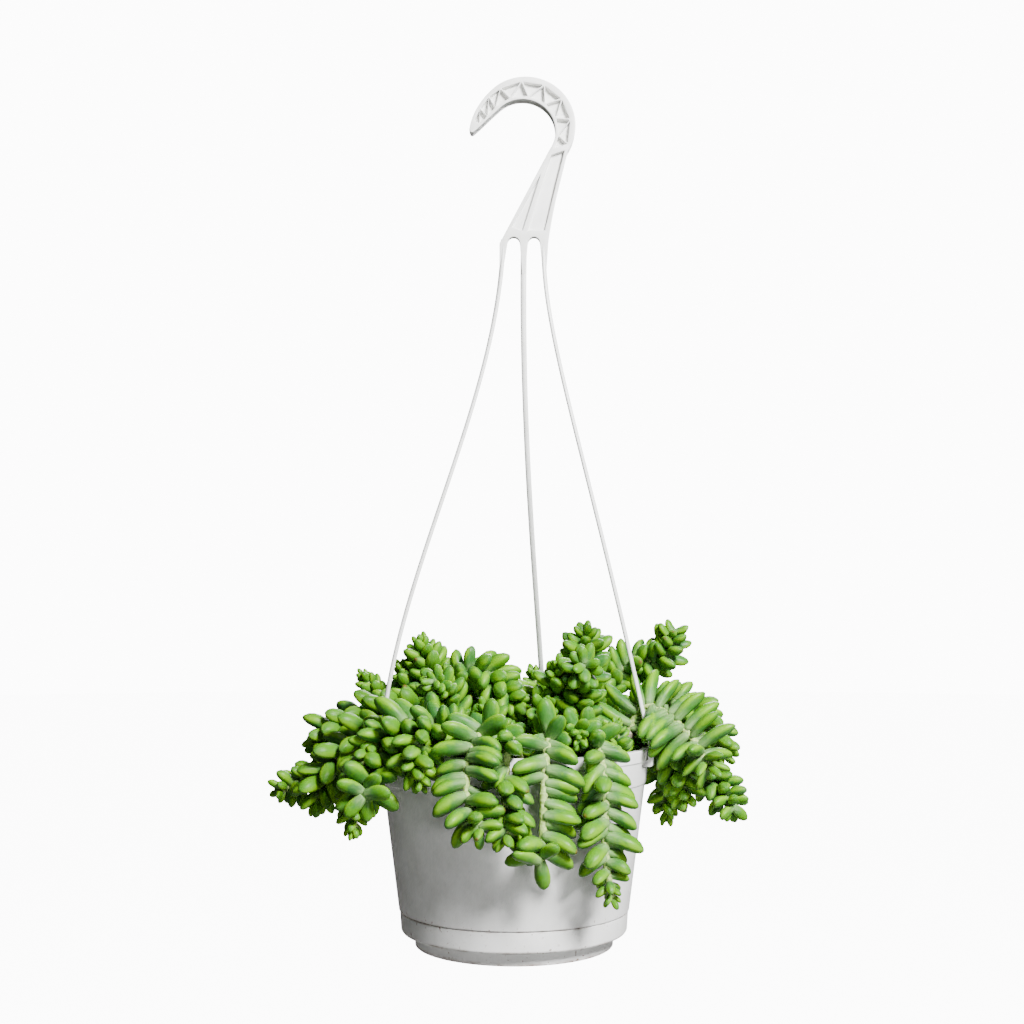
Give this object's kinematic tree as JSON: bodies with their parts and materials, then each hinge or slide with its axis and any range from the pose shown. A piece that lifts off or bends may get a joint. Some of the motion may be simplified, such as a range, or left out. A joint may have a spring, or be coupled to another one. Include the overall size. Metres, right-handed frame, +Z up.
{
  "type": "potted burro's tail plant",
  "caption": "Burro's tail succulent with plump leaves trailing over the rim of a white hanging pot, with a clip-on saucer and a hooked hanger.",
  "frame": {"origin": "on the pot's axis, at the flat underside of the saucer", "axes": "+Z up along the pot's axis to the hook, +X to the right as the hook opens to the left, +Y to the back"},
  "size_m": [0.3042, 0.2346, 0.5553],
  "materials": {
    "pot_plastic": "satin",
    "soil": "matte",
    "leaf": "satin",
    "bark": "matte"
  },
  "bodies": {
    "root": {"pot": "pot_plastic", "saucer": "pot_plastic", "hanger": "pot_plastic", "soil": "soil", "stem_front_left": "leaf", "stem_front_centre": "leaf", "stem_front_right": "leaf", "stem_left_front": "leaf", "stem_right_long": "leaf", "stem_right_mound": "leaf", "stem_left_down": "leaf", "stem_left_upper": "leaf", "stem_left_mound": "leaf", "stem_left_rosette": "leaf", "stem_left_upright": "leaf", "stem_left_small": "leaf", "stem_right_upright": "leaf", "stem_right_back": "leaf", "stem_right_middle": "leaf", "stem_right_low": "leaf", "stem_right_dark": "leaf", "stem_far_left": "leaf", "stem_back_left": "leaf", "stem_back_centre": "leaf", "stem_back_right": "leaf", "stem_back_mound": "leaf", "stem_centre_small": "leaf", "stem_front_low": "leaf", "stem_front_short": "leaf", "stem_left_low": "leaf", "stem_right_short": "leaf", "stem_inner_front": "leaf", "stem_inner_left": "leaf", "stem_inner_right": "leaf", "stem_back_low_left": "leaf", "stem_back_low_right": "leaf", "stem_left_edge": "leaf", "stem_back_edge_right": "leaf", "stem_back_edge_left": "leaf", "stem_left_behind": "leaf", "stem_right_inner": "leaf", "stem_right_under": "leaf", "stem_bare": "bark"}
  },
  "joints": []
}
